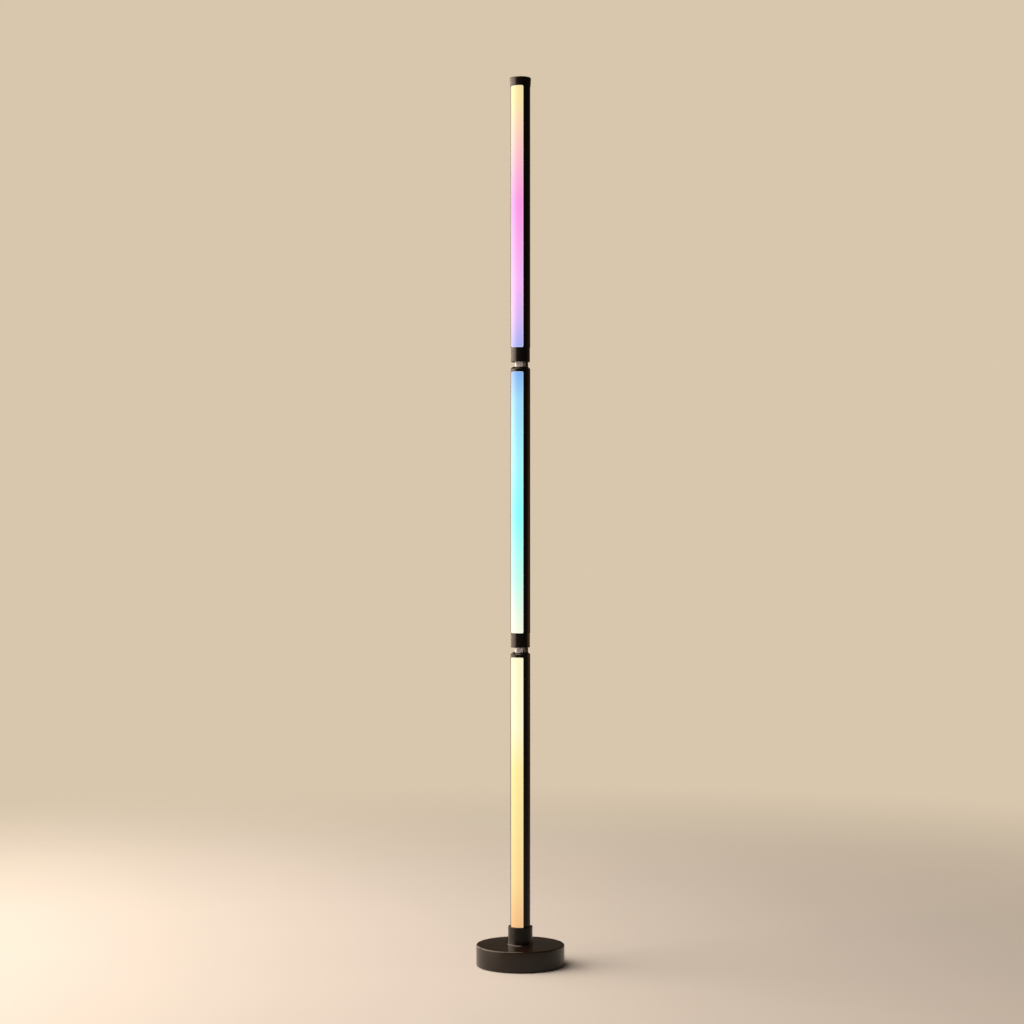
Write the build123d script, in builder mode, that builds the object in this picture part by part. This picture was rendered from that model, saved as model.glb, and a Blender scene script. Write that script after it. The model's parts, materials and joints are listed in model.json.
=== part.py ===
"""LED floor lamp: three lit tube sections, one above the other, on a round weighted base.

Each section is a black extruded channel whose mouth is closed by an opal diffuser.
The middle and upper sections turn on steel necks that stand out of the section below,
as far as the mouth of a C-shaped stop collar allows.
The light faces -Y, the power inlet and the button are at the back, +Y.
The origin is on the floor, on the pole's axis.
"""

import os
from math import cos, degrees, hypot, radians, sin, sqrt

from build123d import *

os.makedirs("parts", exist_ok=True)

# Fits, in millimetres of radius or of gap
SEAT = 0.05  # between pieces that are fixed to each other
RUN = 0.05  # between a shaft and its bore
CLEAR = 0.3  # between pieces that only pass each other

# Edge rounds where one piece meets the next
EDGE_R = 0.3
LIP_R = 0.4

# Tube sections
TUBE_D = 30.0
CHANNEL_WALL = 1.6
MOUTH_ANGLE = 90.0
TUBE_LENGTH = 396.0
LOWER_TUBE_LENGTH = 427.0
DECK_T = 1.4
DECK_BACK_Y = 0.0
PLUG_LENGTH = 16.0
DECK_SETBACK = 20.0
DIFFUSER_SKIN = 1.8
EDGE_GAP = 0.15
DIFFUSER_CORNER_R = 2.0
LEG_T = 1.2
LEG_OVERLAP = 8.0
LEG_REACH = 11.0
RIB_ANGLE = 4.0

# Light and wiring inside a section
BOARD_W = 12.0
BOARD_T = 1.2
BOARD_INSET = 2.0
LED_SIZE = 5.0
LED_T = 1.6
LED_PITCH = 16.6
RIBBON_W = 8.0
RIBBON_T = 1.5

# Swivel joint
CAP_H = 7.5
CAP_CHAMFER = 3.0
GAP = 7.5
SLEEVE_D = 29.0
SLEEVE_H = 22.0
SLEEVE_EDGE = 0.6
NECK_D = 16.5
NECK_BORE_D = 11.5
NECK_FLANGE_D = 22.0
NECK_FLANGE_T = 3.0
STOP_D = 23.7
STOP_MOUTH_ANGLE = 176.0
STOP_MOUTH_TURN = -22.0
STOP_RISE = 4.0
STOP_KEY_ANGLE = 110.0
PEG_D = 1.6
PEG_LENGTH = 3.0
PEG_ANGLE = 60.0
BUSH_WALL = 1.9
BUSH_LENGTH = 24.0
RING_Z = 14.0
RING_H = 2.2
RING_DEPTH = 1.25
RING_EDGE = 0.4
WASHER_T = 1.0
CIRCLIP_T = 1.1
CIRCLIP_DEPTH = 0.8
CIRCLIP_D = 19.4
CIRCLIP_MOUTH_ANGLE = 60.0
NECK_END = 1.6
BORE_HEADROOM = 2.0

# Contacts between sections
PLUG_BODY_Z = 4.0
PLUG_BODY_L = 8.0
PIN_D = 4.0
PIN_LENGTH = 15.0
SOCKET_D = 10.4
SOCKET_FLANGE_D = 14.0
SOCKET_FLANGE_T = 1.5
TAIL_D = 2.4

# Fixing screws through the back of the channels
SCREW_D = 2.5
SCREW_HEAD_D = 4.7
SCREW_SINK = 0.3
SCREW_LENGTH = 8.0
CAP_SCREW_DROP = 8.0

# Top cap
TOP_CAP_H = 13.5
TOP_CAP_FOOT_D = 31.0
TOP_CAP_D = 32.5
TOP_CAP_EDGE = 1.5
TOP_CAP_PLUG = 12.0

# Base
BASE_D = 134.0
BASE_H = 32.0
COVER_WALL = 2.5
COVER_LIFT = 1.2
COVER_TOP_EDGE = 2.0
COVER_FOOT_EDGE = 0.8
PAD_T = 2.0
PAD_INSET = 4.0
PAD_W = 9.0
PLATE_T = 2.0
WEIGHT_GAP = 2.5
WEIGHT_LIFT = 5.5
WEIGHT_EDGE = 1.0
BOLT_POCKET_D = 30.0
BOLT_POCKET_H = 14.0
POST_D = 9.0
POST_INSET = 4.0
PLATE_SCREW_D = 4.0
PLATE_SCREW_HEAD_D = 8.0
PLATE_SCREW_HEAD_T = 1.4
PLATE_SCREW_LENGTH = 12.0

# Collar, clamp bolt and lower plug
COLLAR_D = 37.0
COLLAR_H = 27.5
COLLAR_FLOOR = 5.5
COLLAR_EDGE = 0.8
COLLAR_FLARE = 1.0
PLUG_FLANGE_T = 3.0
BOLT_D = 10.0
BOLT_BORE_D = 6.0
BOLT_HEAD_AF = 17.0
BOLT_HEAD_T = 6.0
BOLT_GRIP_IN_PLUG = 14.5
BOLT_WASHER_D = 20.0
BOLT_WASHER_T = 1.5

# Power inlet, button and control board at the back of the base
NOTCH_W = 48.0
BOARD_TO_WALL = 13.9
BOARD_STANDOFF = 8.0
CONTROL_BOARD_T = 1.6
CONTROL_BOARD_W = 40.0
BOARD_HEADROOM = 1.5
CONTROL_BOARD_H = 20.0
BOARD_SCREW_X = 16.0
BOARD_SCREW_DROP = 4.5
BOARD_SCREW_D = 3.0
BOARD_SCREW_HEAD_D = 5.5
BOARD_SCREW_HEAD_T = 2.0
BOARD_SCREW_LENGTH = 8.0
BOARD_BOSS_D = 7.0
INLET_DROP = 10.5
INLET_D = 9.0
JACK_W = 9.5
JACK_H = 9.4
JACK_BORE_D = 6.3
JACK_BORE_DEPTH = 9.5
JACK_PIN_D = 2.0
JACK_PIN_LENGTH = 8.5
BUTTON_DROP = 6.0
BUTTON_D = 7.2
BUTTON_SINK = 0.1
BUTTON_FLANGE_D = 9.2
BUTTON_FLANGE_T = 1.5
BUTTON_STEM_D = 5.0
BUTTON_EDGE = 0.6
BUTTON_TRAVEL = 1.0
SWITCH_SIZE = 6.0
SWITCH_T = 3.5
SWITCH_CAVITY_DEPTH = 2.5
PLUNGER_D = 3.4
PLUNGER_RISE = 1.9
PLUNGER_IN_SWITCH = 1.3
CONTROLLER_SIZE = 9.0
CONTROLLER_T = 1.6
CONTROLLER_X = 13.0
CONTROLLER_RISE = 4.5
CAPACITOR_D = 6.3
CAPACITOR_L = 7.0
CAPACITOR_X = -12.0
CAPACITOR_RISE = 4.5
CONNECTOR_W = 8.0
CONNECTOR_H = 5.0
CONNECTOR_T = 5.0
HARNESS_D = 3.6
HARNESS_RISE = 2.0
HARNESS_BEND_R = 4.5

# Radii and heights that follow from the sizes above
tube_r = TUBE_D / 2
channel_in_r = tube_r - CHANNEL_WALL
leg_out_r = channel_in_r - 2 * SEAT
leg_in_r = leg_out_r - LEG_T
half_mouth = MOUTH_ANGLE / 2
rib_start = half_mouth + LEG_REACH
rib_end = rib_start + RIB_ANGLE
plug_r = channel_in_r - 2 * SEAT
plug_flat_y = CLEAR - leg_in_r * cos(radians(rib_end))
deck_front_y = DECK_BACK_Y - DECK_T
board_front_y = deck_front_y - BOARD_T
neck_r = NECK_D / 2
neck_bore_r = NECK_BORE_D / 2
bush_in_r = neck_r + RUN
bush_out_r = bush_in_r + BUSH_WALL
washer_z = STOP_RISE + BUSH_LENGTH + 2 * RUN
circlip_z = washer_z + WASHER_T + RUN
neck_top_z = circlip_z + CIRCLIP_T + NECK_END
bore_top_z = neck_top_z + BORE_HEADROOM
sleeve_top_z = SLEEVE_H + PLUG_LENGTH
socket_foot_z = PLUG_BODY_Z + PLUG_BODY_L + 2 * CLEAR
sleeve_screw_z = (bore_top_z + sleeve_top_z) / 2
cover_r = BASE_D / 2
cover_in_r = cover_r - COVER_WALL
cover_ceiling = BASE_H - COVER_WALL
pad_r = cover_r - PAD_INSET
plate_top = PAD_T + PLATE_T
post_circle_r = pad_r - PAD_W - PLATE_SCREW_HEAD_D / 2 - POST_INSET
weight_r = cover_in_r - WEIGHT_GAP
weight_foot = plate_top + WEIGHT_LIFT
bolt_roof = weight_foot + BOLT_POCKET_H
bolt_head_foot = bolt_roof - BOLT_WASHER_T - BOLT_HEAD_T
collar_floor_top = BASE_H + COLLAR_FLOOR
lower_start = collar_floor_top + PLUG_FLANGE_T
bolt_top = collar_floor_top + BOLT_GRIP_IN_PLUG
harness_z = weight_foot + HARNESS_RISE
button_z = cover_ceiling - BUTTON_DROP
inlet_z = button_z - INLET_DROP
control_board_foot = cover_ceiling - BOARD_HEADROOM - CONTROL_BOARD_H
board_screw_z = cover_ceiling - BOARD_HEADROOM - BOARD_SCREW_DROP
controller_z = control_board_foot + CONTROLLER_RISE
capacitor_z = control_board_foot + CAPACITOR_RISE
board_face_y = cover_in_r - BOARD_TO_WALL
notch_y = board_face_y - CONTROL_BOARD_T - BOARD_STANDOFF
inlet_wall_y = sqrt(cover_in_r**2 - (JACK_W / 2) ** 2)
jack_face_y = inlet_wall_y - SEAT
flange_wall_y = sqrt(cover_in_r**2 - (BUTTON_FLANGE_D / 2) ** 2) - CLEAR
plunger_tip_y = board_face_y + SWITCH_T + PLUNGER_RISE

# Heights of the two joints: top end of the tube below, then the sleeve's foot above it
lower_end = lower_start + LOWER_TUBE_LENGTH
middle_sleeve_foot = lower_end + CAP_H + GAP
middle_start = middle_sleeve_foot + SLEEVE_H
middle_end = middle_start + TUBE_LENGTH
upper_sleeve_foot = middle_end + CAP_H + GAP
upper_start = upper_sleeve_foot + SLEEVE_H
upper_end = upper_start + TUBE_LENGTH

FRONT = -90.0  # direction of the light, as an angle from +X
stop_mouth = FRONT + STOP_MOUTH_TURN


def save(piece, name):
    """Labels a finished piece and writes it under its name."""
    piece.part.label = name
    export_step(piece.part, f"parts/{name}.step")


def arc_band(inner_r, outer_r, start, size, mode=Mode.ADD):
    """A stretch of a ring, between two radii and from one angle through another, in the sketch in hand."""
    with BuildLine() as outline:
        inner = CenterArc((0, 0), inner_r, start, size)
        outer = CenterArc((0, 0), outer_r, start, size)
        Line(inner @ 0, outer @ 0)
        Line(inner @ 1, outer @ 1)
    make_face(outline.edges(), mode=mode)


def turned(*outline):
    """Revolves an outline of (radius, height) points about the pole's axis, in the part in hand."""
    with BuildSketch(Plane.XZ) as section:
        with BuildLine():
            Polyline(*outline, close=True)
        make_face()
    revolve(section.sketch, axis=Axis.Z)


def plug_outline(radius):
    """Section of an end plug: a disc with a flat at the front that leaves room for the diffuser's legs."""
    Circle(radius)
    with Locations((0, plug_flat_y)):
        Rectangle(2 * radius, 2 * radius, align=(Align.CENTER, Align.MIN), mode=Mode.INTERSECT)


def facing_back(y, z, x=0.0):
    """A plane at the given place that looks out of the back of the lamp."""
    return Plane(origin=(x, y, z), x_dir=(-1, 0, 0), z_dir=(0, 1, 0))


def screw_hole(z):
    """Countersunk hole through the back of a channel."""
    with Locations(facing_back(tube_r - SCREW_SINK, z)):
        CounterSinkHole(SCREW_D / 2 + SEAT, SCREW_HEAD_D / 2 + SEAT, depth=2 * CHANNEL_WALL)


def rim_edges(part):
    """The long straight edges on a tube's outside, where the diffuser meets the channel's lips."""
    straight = part.edges().filter_by(Axis.Z)
    return [edge for edge in straight if abs(hypot(edge.center().X, edge.center().Y) - tube_r) < SEAT]


def channel(name, start, length, screw_heights):
    """Extruded aluminium channel: C-shaped wall, deck for the LED board, rib behind each diffuser leg."""
    with BuildPart() as part:
        with BuildSketch(Plane.XY.offset(start)):
            arc_band(channel_in_r, tube_r, FRONT + half_mouth, 360 - MOUTH_ANGLE)
            for rib_from in (FRONT + rib_start, FRONT - rib_end):
                arc_band(leg_in_r, channel_in_r + CHANNEL_WALL / 2, rib_from, RIB_ANGLE)
        extrude(amount=length)
        fillet(rim_edges(part), LIP_R)
        with BuildSketch(Plane.XY.offset(start + DECK_SETBACK)):
            Circle(channel_in_r + CHANNEL_WALL / 2)
            with Locations((0, DECK_BACK_Y)):
                Rectangle(TUBE_D, DECK_T, align=(Align.CENTER, Align.MAX), mode=Mode.INTERSECT)
        extrude(amount=length - 2 * DECK_SETBACK)
        for z in screw_heights:
            screw_hole(z)
    save(part, f"{name}_channel")


def diffuser(name, start, length):
    """Opal cover: a round-cornered skin flush with the channel, on two legs that hook behind its lips."""
    skin_half = half_mouth - degrees(EDGE_GAP / tube_r)
    skin_width = 2 * tube_r * sin(radians(skin_half))
    with BuildPart() as part:
        with BuildSketch(Plane.XY.offset(start)):
            arc_band(tube_r - DIFFUSER_SKIN, tube_r, FRONT - skin_half, 2 * skin_half)
            for leg_from in (FRONT + half_mouth - LEG_OVERLAP, FRONT - half_mouth - LEG_REACH + EDGE_GAP):
                arc_band(leg_in_r, leg_out_r, leg_from, LEG_OVERLAP + LEG_REACH - EDGE_GAP)
        extrude(amount=length)
        fillet(rim_edges(part), LIP_R)
        with BuildSketch(Plane.XZ):
            with Locations((0, start + length / 2)):
                Rectangle(skin_width, length)
                RectangleRounded(skin_width, length, DIFFUSER_CORNER_R, mode=Mode.SUBTRACT)
        extrude(amount=tube_r, mode=Mode.SUBTRACT)
    save(part, f"{name}_diffuser")


def light_and_ribbon(name, start, length):
    """LED board on the deck's front, its row of LEDs, and the ribbon lead on the deck's back."""
    deck_start = start + DECK_SETBACK
    deck_length = length - 2 * DECK_SETBACK
    board_length = deck_length - 2 * BOARD_INSET
    led_count = int((board_length - LED_PITCH) / LED_PITCH) + 1
    middle_z = deck_start + deck_length / 2

    with BuildPart() as board:
        with BuildSketch(Plane.XY.offset(deck_start + BOARD_INSET)):
            with Locations((0, deck_front_y)):
                Rectangle(BOARD_W, BOARD_T, align=(Align.CENTER, Align.MAX))
        extrude(amount=board_length)
    save(board, f"{name}_led_board")

    with BuildPart() as leds:
        with BuildSketch(Plane.XZ.offset(-board_front_y)):
            with Locations((0, middle_z)):
                with GridLocations(LED_PITCH, LED_PITCH, 1, led_count):
                    Rectangle(LED_SIZE, LED_SIZE)
        extrude(amount=LED_T)
    save(leds, f"{name}_leds")

    with BuildPart() as ribbon:
        with BuildSketch(Plane.XY.offset(deck_start)):
            with Locations((0, DECK_BACK_Y)):
                Rectangle(RIBBON_W, RIBBON_T, align=(Align.CENTER, Align.MIN))
        extrude(amount=deck_length)
    save(ribbon, f"{name}_ribbon")


def fixing_screws(name, heights):
    """Countersunk screws that hold the end fittings, from the back of the channel."""
    head_t = (SCREW_HEAD_D - SCREW_D) / 2
    with BuildPart() as part:
        for z in heights:
            with Locations(facing_back(tube_r - SCREW_SINK - SEAT, z)):
                Cylinder(SCREW_D / 2, SCREW_LENGTH, align=(Align.CENTER, Align.CENTER, Align.MAX))
                Cone(
                    SCREW_D / 2,
                    SCREW_HEAD_D / 2,
                    head_t,
                    align=(Align.CENTER, Align.CENTER, Align.MAX),
                )
    save(part, f"{name}_screws")


def peg_places():
    """Where the two pegs under a stop collar go, either side of the middle of its arm."""
    peg_circle_r = (neck_r + STOP_D / 2) / 2
    return PolarLocations(peg_circle_r, 2, stop_mouth + 180 - PEG_ANGLE, 2 * PEG_ANGLE, endpoint=True)


def screw_bore(z):
    """Straight hole for a fixing screw, in an end fitting."""
    with Locations(facing_back(tube_r, z)):
        Hole(SCREW_D / 2 + SEAT, depth=tube_r - neck_bore_r - SEAT)


def joint_cap(name, seat):
    """Moulded cap on the top end of a tube: a coned rim, and a plug in the channel that holds the neck."""
    rim_top = seat + CAP_H
    with BuildPart() as part:
        with BuildSketch(Plane.XY.offset(seat)):
            Circle(tube_r)
        extrude(amount=CAP_H)
        chamfer(part.edges().group_by(Axis.Z)[-1], CAP_CHAMFER)
        fillet(part.edges().group_by(Axis.Z)[0], EDGE_R)
        with BuildSketch(Plane.XY.offset(seat - PLUG_LENGTH)):
            plug_outline(plug_r)
        extrude(amount=PLUG_LENGTH)
        with Locations((0, 0, rim_top)):
            Hole(neck_r + SEAT)
            with peg_places():
                Hole(PEG_D / 2 + SEAT, depth=PEG_LENGTH + SEAT)
        with BuildSketch(Plane.XY.offset(seat - PLUG_LENGTH)):
            Circle(NECK_FLANGE_D / 2 + SEAT)
        extrude(amount=NECK_FLANGE_T + SEAT, mode=Mode.SUBTRACT)
        screw_bore(seat - CAP_SCREW_DROP)
    save(part, f"{name}_joint_cap")


def neck(name, seat):
    """Turned steel neck: a flanged tube that carries the section above, grooved for ring and circlip."""
    foot = seat - PLUG_LENGTH
    above = seat + CAP_H + GAP
    ring_r = neck_r - RING_DEPTH
    clip_r = neck_r - CIRCLIP_DEPTH
    ring_foot, ring_top = above + RING_Z - SEAT, above + RING_Z + RING_H + SEAT
    clip_foot, clip_top = above + circlip_z - SEAT, above + circlip_z + CIRCLIP_T + SEAT
    with BuildPart() as part:
        turned(
            (neck_bore_r, foot),
            (NECK_FLANGE_D / 2, foot),
            (NECK_FLANGE_D / 2, foot + NECK_FLANGE_T),
            (neck_r, foot + NECK_FLANGE_T),
            (neck_r, ring_foot),
            (ring_r, ring_foot),
            (ring_r, ring_top),
            (neck_r, ring_top),
            (neck_r, clip_foot),
            (clip_r, clip_foot),
            (clip_r, clip_top),
            (neck_r, clip_top),
            (neck_r, above + neck_top_z),
            (neck_bore_r, above + neck_top_z),
        )
        with BuildSketch(Plane.XY.offset(foot)):
            with Locations((0, plug_flat_y)):
                Rectangle(TUBE_D, TUBE_D, align=(Align.CENTER, Align.MAX))
        extrude(amount=PLUG_LENGTH, mode=Mode.SUBTRACT)
        screw_bore(seat - CAP_SCREW_DROP)
    save(part, f"{name}_neck")


def stop_collar(name, seat):
    """C-shaped collar round the neck: it carries the sleeve above, and its mouth limits the swivel."""
    foot = seat + CAP_H
    body_from = stop_mouth + STOP_MOUTH_ANGLE / 2
    with BuildPart() as part:
        with BuildSketch(Plane.XY.offset(foot)):
            arc_band(neck_r + SEAT, STOP_D / 2, body_from, 360 - STOP_MOUTH_ANGLE)
        extrude(amount=GAP + STOP_RISE - RUN)
        fillet(part.edges().filter_by(Axis.Z), EDGE_R)
        with BuildSketch(Plane.XY.offset(foot)):
            with peg_places():
                Circle(PEG_D / 2)
        extrude(amount=-PEG_LENGTH)
    save(part, f"{name}_stop_collar")


def neck_rings(name, seat):
    """What sits on the neck inside the sleeve: the rubber friction ring, the washer and the circlip."""
    above = seat + CAP_H + GAP
    ring_in, ring_out = neck_r - RING_DEPTH + SEAT, neck_r + RUN / 2
    clip_in = neck_r - CIRCLIP_DEPTH + SEAT

    with BuildPart() as ring:
        turned(
            (ring_in, above + RING_Z),
            (ring_out, above + RING_Z),
            (ring_out, above + RING_Z + RING_H),
            (ring_in, above + RING_Z + RING_H),
        )
        fillet(ring.edges(), RING_EDGE)
    save(ring, f"{name}_friction_ring")

    with BuildPart() as washer:
        with BuildSketch(Plane.XY.offset(above + washer_z)):
            Circle(bush_out_r - CLEAR)
            Circle(neck_r + SEAT, mode=Mode.SUBTRACT)
        extrude(amount=WASHER_T)
    save(washer, f"{name}_retaining_washer")

    with BuildPart() as circlip:
        with BuildSketch(Plane.XY.offset(above + circlip_z)):
            arc_band(clip_in, CIRCLIP_D / 2, 90 + CIRCLIP_MOUTH_ANGLE / 2, 360 - CIRCLIP_MOUTH_ANGLE)
        extrude(amount=CIRCLIP_T)
    save(circlip, f"{name}_circlip")


def contact_plug(name, seat):
    """Coaxial plug in the neck's bore: a moulded body, a pin that points up and a tail down to the ribbon."""
    above = seat + CAP_H + GAP
    body_foot = above + PLUG_BODY_Z
    body_top = body_foot + PLUG_BODY_L
    with BuildPart() as part:
        turned(
            (0, seat - DECK_SETBACK),
            (TAIL_D / 2, seat - DECK_SETBACK),
            (TAIL_D / 2, body_foot),
            (neck_bore_r - SEAT, body_foot),
            (neck_bore_r - SEAT, body_top),
            (PIN_D / 2, body_top),
            (PIN_D / 2, body_top + PIN_LENGTH),
            (0, body_top + PIN_LENGTH),
        )
        chamfer(part.edges().group_by(Axis.Z)[-1], PIN_D / 8)
    save(part, f"{name}_contact_plug")


def sleeve(name, foot):
    """Moulded sleeve on the foot of a tube: it turns on the neck below, its plug fits the channel's end."""
    bore_foot = foot + STOP_RISE
    pocket_from = stop_mouth + STOP_KEY_ANGLE / 2
    with BuildPart() as part:
        with BuildSketch(Plane.XY.offset(foot)):
            Circle(SLEEVE_D / 2)
        extrude(amount=SLEEVE_H)
        fillet(part.edges().group_by(Axis.Z)[0], SLEEVE_EDGE)
        fillet(part.edges().group_by(Axis.Z)[-1], EDGE_R)
        with BuildSketch(Plane.XY.offset(foot + SLEEVE_H)):
            plug_outline(plug_r)
        extrude(amount=PLUG_LENGTH)
        with BuildSketch(Plane.XY.offset(foot)):
            Circle(neck_r + CLEAR)
            arc_band(neck_r, STOP_D / 2 + CLEAR, pocket_from, 360 - STOP_KEY_ANGLE)
        extrude(amount=STOP_RISE, mode=Mode.SUBTRACT)
        with BuildSketch(Plane.XY.offset(bore_foot)):
            Circle(bush_out_r + SEAT)
        extrude(amount=bore_top_z - STOP_RISE, mode=Mode.SUBTRACT)
        with Locations((0, 0, foot + sleeve_top_z)):
            Hole(SOCKET_D / 2 + SEAT, depth=sleeve_top_z - bore_top_z + CLEAR)
        screw_bore(foot + sleeve_screw_z)
    save(part, f"{name}_sleeve")


def bush(name, foot):
    """Plain bearing bush between the sleeve and the neck."""
    with BuildPart() as part:
        with BuildSketch(Plane.XY.offset(foot + STOP_RISE)):
            Circle(bush_out_r)
            Circle(bush_in_r, mode=Mode.SUBTRACT)
        extrude(amount=BUSH_LENGTH)
    save(part, f"{name}_bush")


def contact_socket(name, foot):
    """Coaxial socket that hangs from the sleeve's end wall into the neck's bore, over the pin."""
    flange_foot = foot + sleeve_top_z
    flange_top = flange_foot + SOCKET_FLANGE_T
    tail_top = foot + SLEEVE_H + DECK_SETBACK
    with BuildPart() as part:
        turned(
            (0, foot + socket_foot_z),
            (SOCKET_D / 2, foot + socket_foot_z),
            (SOCKET_D / 2, flange_foot),
            (SOCKET_FLANGE_D / 2, flange_foot),
            (SOCKET_FLANGE_D / 2, flange_top),
            (TAIL_D / 2, flange_top),
            (TAIL_D / 2, tail_top),
            (0, tail_top),
        )
        with Locations(Plane(origin=(0, 0, foot + socket_foot_z), z_dir=(0, 0, -1))):
            Hole(PIN_D / 2 + RUN, depth=PIN_LENGTH + CLEAR)
    save(part, f"{name}_contact_socket")


# Tube sections
lower_screws = (lower_start + CAP_SCREW_DROP, lower_end - CAP_SCREW_DROP)
middle_screws = (middle_sleeve_foot + sleeve_screw_z, middle_end - CAP_SCREW_DROP)
upper_screws = (upper_sleeve_foot + sleeve_screw_z,)
sections = (
    ("lower", lower_start, LOWER_TUBE_LENGTH, lower_screws),
    ("middle", middle_start, TUBE_LENGTH, middle_screws),
    ("upper", upper_start, TUBE_LENGTH, upper_screws),
)
for section_name, start_z, tube_length, screw_heights in sections:
    channel(section_name, start_z, tube_length, screw_heights)
    diffuser(section_name, start_z, tube_length)
    light_and_ribbon(section_name, start_z, tube_length)
    fixing_screws(section_name, screw_heights)

# Swivel joints: the half that stands on the tube below, then the half that turns with the tube above
for section_name, seat_z in (("lower", lower_end), ("middle", middle_end)):
    joint_cap(section_name, seat_z)
    neck(section_name, seat_z)
    stop_collar(section_name, seat_z)
    neck_rings(section_name, seat_z)
    contact_plug(section_name, seat_z)
for section_name, foot_z in (("middle", middle_sleeve_foot), ("upper", upper_sleeve_foot)):
    sleeve(section_name, foot_z)
    bush(section_name, foot_z)
    contact_socket(section_name, foot_z)

# Top cap: a slightly flared cap with a plug inside the channel
with BuildPart() as top_cap:
    with BuildSketch(Plane.XY.offset(upper_end)):
        Circle(TOP_CAP_FOOT_D / 2)
    with BuildSketch(Plane.XY.offset(upper_end + TOP_CAP_H)):
        Circle(TOP_CAP_D / 2)
    loft()
    fillet(top_cap.edges().group_by(Axis.Z)[-1], TOP_CAP_EDGE)
    fillet(top_cap.edges().group_by(Axis.Z)[0], EDGE_R)
    with BuildSketch(Plane.XY.offset(upper_end - TOP_CAP_PLUG)):
        plug_outline(plug_r)
    extrude(amount=TOP_CAP_PLUG)
save(top_cap, "top_cap")

# Lower plug: closes the foot of the lower channel and takes the clamp bolt
with BuildPart() as lower_plug:
    with BuildSketch(Plane.XY.offset(collar_floor_top)):
        Circle(tube_r)
    extrude(amount=PLUG_FLANGE_T)
    with BuildSketch(Plane.XY.offset(lower_start)):
        plug_outline(plug_r)
    extrude(amount=PLUG_LENGTH)
    with Locations((0, 0, lower_start + PLUG_LENGTH)):
        Hole(BOLT_D / 2 + SEAT)
    screw_bore(lower_start + CAP_SCREW_DROP)
save(lower_plug, "lower_plug")

# Collar: the socket on top of the base that the lower tube stands in, with a small flare at its foot
with BuildPart() as base_collar:
    with BuildSketch(Plane.XY.offset(BASE_H)):
        Circle(COLLAR_D / 2)
    extrude(amount=COLLAR_H)
    with BuildSketch(Plane.XY.offset(BASE_H)):
        Circle(COLLAR_D / 2 + COLLAR_FLARE)
    extrude(amount=COLLAR_FLARE, taper=45)
    with Locations((0, 0, BASE_H + COLLAR_H)):
        CounterBoreHole(BOLT_D / 2 + SEAT, tube_r + 2 * SEAT, COLLAR_H - COLLAR_FLOOR)
    fillet(base_collar.edges().group_by(Axis.Z)[-1], COLLAR_EDGE)
save(base_collar, "base_collar")

# Base cover: a moulded shell, open below, with the inlet and button holes in its back wall
with BuildPart() as base_cover:
    with BuildSketch(Plane.XY.offset(COVER_LIFT)):
        Circle(cover_r)
    extrude(amount=BASE_H - COVER_LIFT)
    fillet(base_cover.edges().group_by(Axis.Z)[-1], COVER_TOP_EDGE)
    fillet(base_cover.edges().group_by(Axis.Z)[0], COVER_FOOT_EDGE)
    with BuildSketch(Plane.XY.offset(COVER_LIFT)):
        Circle(cover_in_r)
    extrude(amount=cover_ceiling - COVER_LIFT, mode=Mode.SUBTRACT)
    with Locations((0, 0, BASE_H)):
        Hole(BOLT_D / 2 + SEAT)
    for hole_z, hole_r in ((inlet_z, INLET_D / 2), (button_z, BUTTON_D / 2 + CLEAR)):
        with Locations(facing_back(cover_r, hole_z)):
            Hole(hole_r, depth=2 * COVER_WALL)
save(base_cover, "base_cover")

# Weight: a cast disc under the cover's ceiling, with a pocket for the bolt head, a notch for the electronics
# at the back, a groove for the harness, and four posts that carry the bottom plate
with BuildPart() as base_weight:
    with BuildSketch(Plane.XY.offset(weight_foot)):
        Circle(weight_r)
        with Locations((0, notch_y)):
            Rectangle(NOTCH_W, 2 * weight_r, align=(Align.CENTER, Align.MIN), mode=Mode.SUBTRACT)
    extrude(amount=cover_ceiling - weight_foot)
    chamfer(base_weight.edges().filter_by(GeomType.CIRCLE), WEIGHT_EDGE)
    with BuildSketch(Plane.XY.offset(weight_foot)):
        Circle(BOLT_POCKET_D / 2)
    extrude(amount=BOLT_POCKET_H, mode=Mode.SUBTRACT)
    with Locations((0, 0, cover_ceiling)):
        Hole(BOLT_D / 2 + SEAT)
    with BuildSketch(Plane.XY.offset(weight_foot)):
        Rectangle(HARNESS_D + 2 * CLEAR, notch_y, align=(Align.CENTER, Align.MIN))
    extrude(amount=harness_z + HARNESS_D / 2 + CLEAR - weight_foot, mode=Mode.SUBTRACT)
    with BuildSketch(Plane.XY.offset(plate_top)):
        with PolarLocations(post_circle_r, 4, start_angle=45):
            Circle(POST_D / 2)
    extrude(amount=WEIGHT_LIFT)
    with BuildSketch(facing_back(notch_y, board_screw_z)):
        with GridLocations(2 * BOARD_SCREW_X, 1, 2, 1):
            Circle(BOARD_BOSS_D / 2)
    extrude(amount=board_face_y - CONTROL_BOARD_T - notch_y)
    with Locations(Plane(origin=(0, 0, plate_top), z_dir=(0, 0, -1))):
        with PolarLocations(post_circle_r, 4, start_angle=45):
            Hole(PLATE_SCREW_D / 2 + SEAT, depth=PLATE_SCREW_LENGTH)
    with Locations(facing_back(board_face_y - CONTROL_BOARD_T, board_screw_z)):
        with GridLocations(2 * BOARD_SCREW_X, 1, 2, 1):
            Hole(BOARD_SCREW_D / 2 + SEAT, depth=BOARD_SCREW_LENGTH)
save(base_weight, "base_weight")

# Bottom plate and its four screws
with BuildPart() as bottom_plate:
    with BuildSketch(Plane.XY.offset(PAD_T)):
        Circle(cover_in_r - CLEAR)
        with PolarLocations(post_circle_r, 4, start_angle=45):
            Circle(PLATE_SCREW_D / 2 + CLEAR, mode=Mode.SUBTRACT)
    extrude(amount=PLATE_T)
save(bottom_plate, "bottom_plate")

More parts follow.
